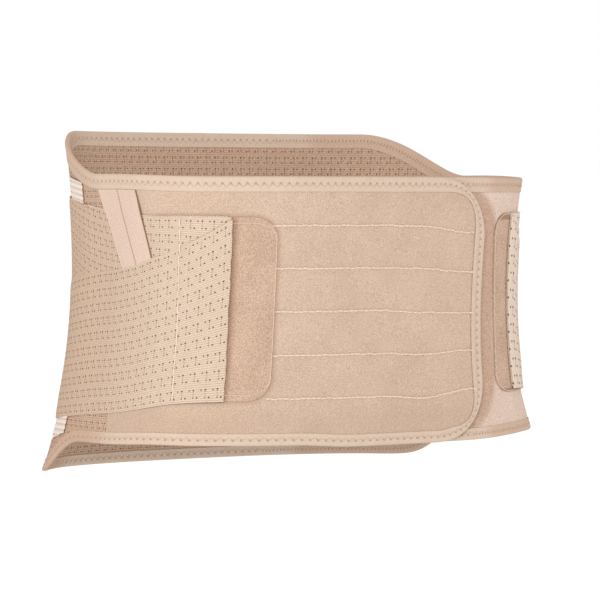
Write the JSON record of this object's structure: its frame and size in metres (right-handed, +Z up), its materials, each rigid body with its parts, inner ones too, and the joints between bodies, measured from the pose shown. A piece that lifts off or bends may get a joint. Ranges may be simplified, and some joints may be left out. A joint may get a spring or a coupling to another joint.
{
  "type": "lumbosacral brace",
  "caption": "Wrap-around lower back brace with overlapping velour front flaps, perforated elastic side straps with hook tabs, bound edges and a taller back.",
  "frame": {"origin": "on the axis of the wearer's torso, level with the middle of the front panel", "axes": "+Z up along the torso, the front faces -Y, the wearer's left is +X"},
  "size_m": [0.3388, 0.2701, 0.243],
  "materials": {
    "velour": "soft matt velour",
    "velour_under": "soft matt velour, a little pinker",
    "knit": "matt perforated elastic knit",
    "elastic": "matt perforated ribbed elastic",
    "binding_tape": "matt folded knit tape with zigzag stitching",
    "hook_fabric": "matt looped hook fabric",
    "ribbed_tape": "low sheen ribbed tape",
    "casing": "satin ridged cream cloth"
  },
  "bodies": {
    "root": {"front_panel_right": "velour", "front_panel_left": "velour_under", "back_panel": "knit", "edge_binding": "binding_tape", "hook_tab_right": "hook_fabric", "strap_upper_right": "elastic", "strap_lower_right": "elastic", "guide_tape_rear_right": "ribbed_tape", "guide_tape_front_right": "ribbed_tape", "stay_casing_right": "casing", "hook_tab_left": "hook_fabric", "strap_upper_left": "elastic", "strap_lower_left": "elastic", "guide_tape_rear_left": "ribbed_tape", "guide_tape_front_left": "ribbed_tape", "stay_casing_left": "casing"}
  },
  "joints": []
}
